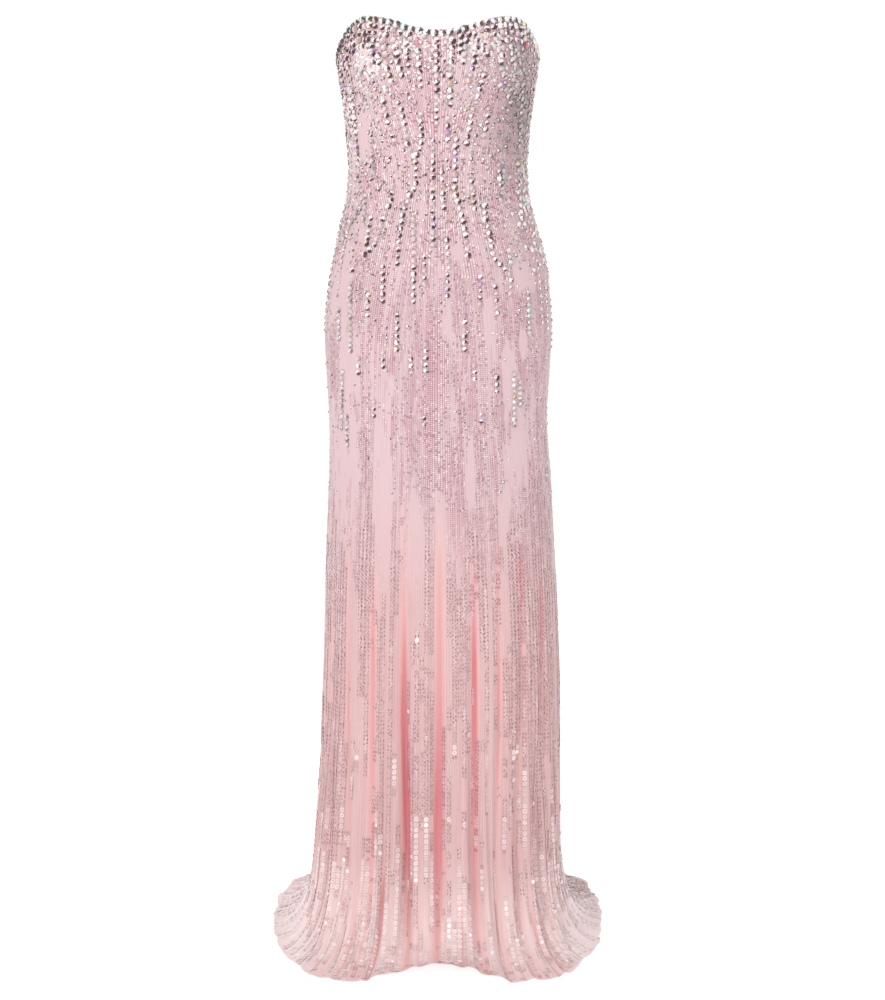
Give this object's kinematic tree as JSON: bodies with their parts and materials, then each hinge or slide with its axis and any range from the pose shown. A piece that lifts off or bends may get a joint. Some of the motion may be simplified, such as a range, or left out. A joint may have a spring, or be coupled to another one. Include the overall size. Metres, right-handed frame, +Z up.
{
  "type": "bustier gown",
  "caption": "Strapless floor-length gown with a cup bodice, fitted waist, soft skirt folds, short train, stone-edged top and back zip.",
  "frame": {"origin": "middle of the bodice on the underarm line, where the wearer holds the gown up", "axes": "+Z up, -Y towards the front of the gown, +X towards the right as seen from the front"},
  "size_m": [0.4926, 0.6515, 1.3278],
  "materials": {
    "gown_cloth": "pale pink cloth covered with sequins, beads and crystals",
    "edging_stones": "clear faceted stones with silvered backs",
    "zip_cloth": "woven tape, matt",
    "zip_metal": "nickel plate, satin"
  },
  "bodies": {
    "gown": {"front_centre_panel": "gown_cloth", "front_left_panel": "gown_cloth", "front_right_panel": "gown_cloth", "back_left_panel": "gown_cloth", "back_right_panel": "gown_cloth", "neck_stone_edging": "edging_stones", "zip_tape": "zip_cloth", "zip_slider": "zip_metal"},
    "pull": {"zip_pull": "zip_metal"}
  },
  "joints": [
    {"name": "pull_hinge", "type": "hinge", "parent": "gown", "child": "pull", "pos_m": [0, 0.09005, -0.01695], "axis": [1, 0, 0], "range_deg": [0, 150]}
  ]
}
